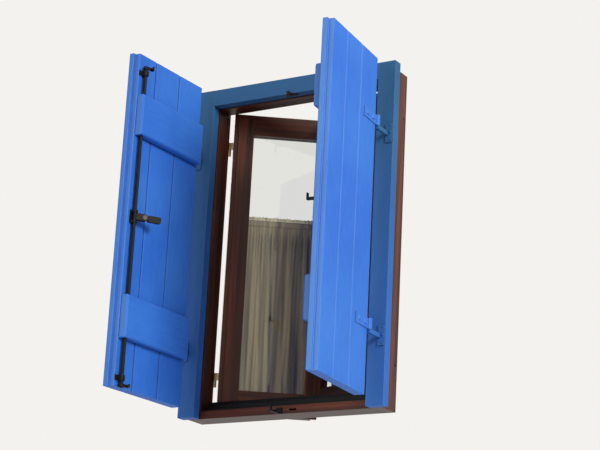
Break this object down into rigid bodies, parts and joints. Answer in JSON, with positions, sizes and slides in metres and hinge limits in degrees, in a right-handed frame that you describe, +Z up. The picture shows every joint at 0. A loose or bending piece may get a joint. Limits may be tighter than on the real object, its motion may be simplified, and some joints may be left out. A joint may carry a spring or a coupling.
{
  "type": "shuttered casement window",
  "caption": "Inward-opening casement window in a stained timber frame, with an outer painted frame, ledged board shutters, a turning bolt rod and gathered half-height curtains.",
  "frame": {"origin": "foot of the shutter frame, at its centre, on its street face", "axes": "+X right along the wall seen from the street, +Y into the room, +Z up"},
  "size_m": [0.8393, 0.831, 1.24],
  "materials": {
    "blue_paint": "satin paint",
    "blue_paint_metal": "satin paint",
    "stained_timber": "satin stain",
    "bronze_aluminium": "anodised",
    "black_rubber": "matt",
    "black_iron": "satin paint",
    "plated_steel": "plated",
    "brass": "satin",
    "glass": "clear",
    "net_cloth": "woven"
  },
  "bodies": {
    "frame": {"shutter_frame_head": "blue_paint", "shutter_frame_jamb_left": "blue_paint", "shutter_frame_jamb_right": "blue_paint", "window_frame_head": "stained_timber", "window_frame_jamb_left": "stained_timber", "window_frame_jamb_right": "stained_timber", "window_frame_bottom_rail": "stained_timber", "drip_bar": "bronze_aluminium", "window_seal": "black_rubber", "shutter_pintles_left": "blue_paint_metal", "shutter_pintles_right": "blue_paint_metal", "upper_keeper": "black_iron", "lower_keeper": "black_iron", "sash_hinge_pins_left": "plated_steel", "sash_hinge_pins_right": "plated_steel"},
    "left_shutter_leaf": {"left_shutter_board_hinge": "blue_paint", "left_shutter_board_middle": "blue_paint", "left_shutter_board_meeting": "blue_paint", "left_shutter_ledge_lower": "blue_paint", "left_shutter_ledge_upper": "blue_paint", "left_shutter_straps": "blue_paint_metal", "left_shutter_strap_screws": "blue_paint_metal", "rod_guides": "black_iron"},
    "bolt": {"bolt_rod": "black_iron", "bolt_hook_lower": "black_iron", "bolt_hook_upper": "black_iron", "lever_pin": "plated_steel"},
    "lever": {"bolt_lever": "black_iron"},
    "right_shutter_leaf": {"right_shutter_board_hinge": "blue_paint", "right_shutter_board_middle": "blue_paint", "right_shutter_board_meeting": "blue_paint", "right_shutter_ledge_lower": "blue_paint", "right_shutter_ledge_upper": "blue_paint", "right_shutter_straps": "blue_paint_metal", "right_shutter_strap_screws": "blue_paint_metal", "lever_catch": "black_iron"},
    "left_sash_leaf": {"left_sash_stile_hinge": "stained_timber", "left_sash_stile_meeting": "stained_timber", "left_sash_rail_top": "stained_timber", "left_sash_rail_bottom": "stained_timber", "left_sash_glass": "glass", "left_sash_glazing_beads": "stained_timber", "left_sash_hinges": "plated_steel", "left_curtain_rod": "brass", "left_curtain_brackets": "brass", "left_curtain": "net_cloth"},
    "right_sash_leaf": {"right_sash_stile_hinge": "stained_timber", "right_sash_stile_meeting": "stained_timber", "right_sash_rail_top": "stained_timber", "right_sash_rail_bottom": "stained_timber", "right_sash_glass": "glass", "right_sash_glazing_beads": "stained_timber", "right_sash_hinges": "plated_steel", "right_curtain_rod": "brass", "right_curtain_brackets": "brass", "right_curtain": "net_cloth", "handle_rose": "brass"},
    "handle": {"window_handle": "brass"}
  },
  "joints": [
    {"name": "left_shutter_hinge", "type": "hinge", "parent": "frame", "child": "left_shutter_leaf", "pos_m": [-0.392, -0.072, 0.6], "axis": [0, 0, -1], "range_deg": [-92.19, 87.81]},
    {"name": "right_shutter_hinge", "type": "hinge", "parent": "frame", "child": "right_shutter_leaf", "pos_m": [0.392, -0.072, 0.6], "axis": [0, 0, 1], "range_deg": [-95.58, 84.42]},
    {"name": "left_sash_hinge", "type": "hinge", "parent": "frame", "child": "left_sash_leaf", "pos_m": [-0.365, 0.15, 0.6], "axis": [0, 0, 1], "range_deg": [-35.5, 60]},
    {"name": "right_sash_hinge", "type": "hinge", "parent": "frame", "child": "right_sash_leaf", "pos_m": [0.365, 0.15, 0.6], "axis": [0, 0, -1], "range_deg": [-21, 75]},
    {"name": "bolt_turn", "type": "hinge", "parent": "left_shutter_leaf", "child": "bolt", "pos_m": [-0.34984, -0.43488, 0.6], "axis": [0, 0, 1], "range_deg": [-135, 0]},
    {"name": "lever_lift", "type": "hinge", "parent": "bolt", "child": "lever", "pos_m": [-0.33119, -0.40526, 0.62], "axis": [0.8463, -0.5327, 0], "range_deg": [0, 60]},
    {"name": "handle_turn", "type": "hinge", "parent": "right_sash_leaf", "child": "handle", "pos_m": [0.03193, 0.27571, 0.6], "axis": [-0.3584, -0.9336, 0], "range_deg": [-90, 0]}
  ]
}
